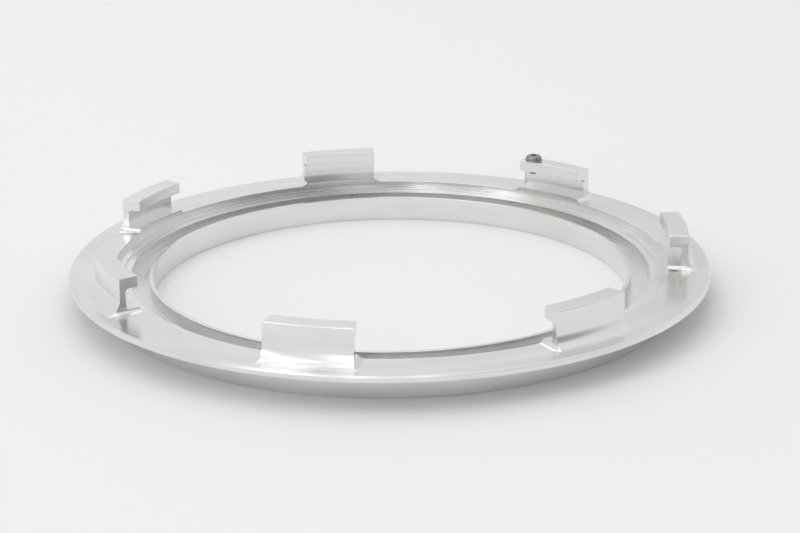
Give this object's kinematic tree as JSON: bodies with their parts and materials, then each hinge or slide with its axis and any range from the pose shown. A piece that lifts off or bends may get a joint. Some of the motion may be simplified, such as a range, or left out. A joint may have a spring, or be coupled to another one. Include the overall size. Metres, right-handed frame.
{
  "type": "twist-lock mounting ring",
  "caption": "Machined flanged ring with inward-hooking bayonet lugs, a face seal groove and a small locking screw.",
  "frame": {"origin": "centre of the ring on its bottom face", "axes": "+Z along the ring's axis, out of the face that has the lugs; +X through the middle of lug 1"},
  "size_m": [0.2016, 0.2016, 0.0238],
  "materials": {
    "machined_aluminium": "satin, fine turning and milling marks, uncoated",
    "screw_steel": "dark grey, satin",
    "washer_steel": "grey, satin"
  },
  "bodies": {
    "ring": {"inner_rim": "machined_aluminium", "groove_floor": "machined_aluminium", "spigot": "machined_aluminium", "flange": "machined_aluminium", "lug_1": "machined_aluminium", "lug_2": "machined_aluminium", "lug_3": "machined_aluminium", "lug_4": "machined_aluminium", "lug_5": "machined_aluminium", "lug_6": "machined_aluminium", "lug_7": "machined_aluminium"},
    "washer": {"screw_washer": "washer_steel"},
    "screw": {"lock_screw": "screw_steel"}
  },
  "joints": [
    {"name": "screw_lift", "type": "slide", "parent": "ring", "child": "washer", "axis": [0, 0, 1], "range_m": [0, 0.003]},
    {"name": "screw_turn", "type": "hinge", "parent": "washer", "child": "screw", "pos_m": [0.0494, 0.07451, 0.022], "axis": [0, 0, 1], "range_deg": [0, 2160]}
  ],
  "couplings": [
    {"joint": "screw_turn", "follows": "screw_lift", "rad_per_m": 12566}
  ]
}
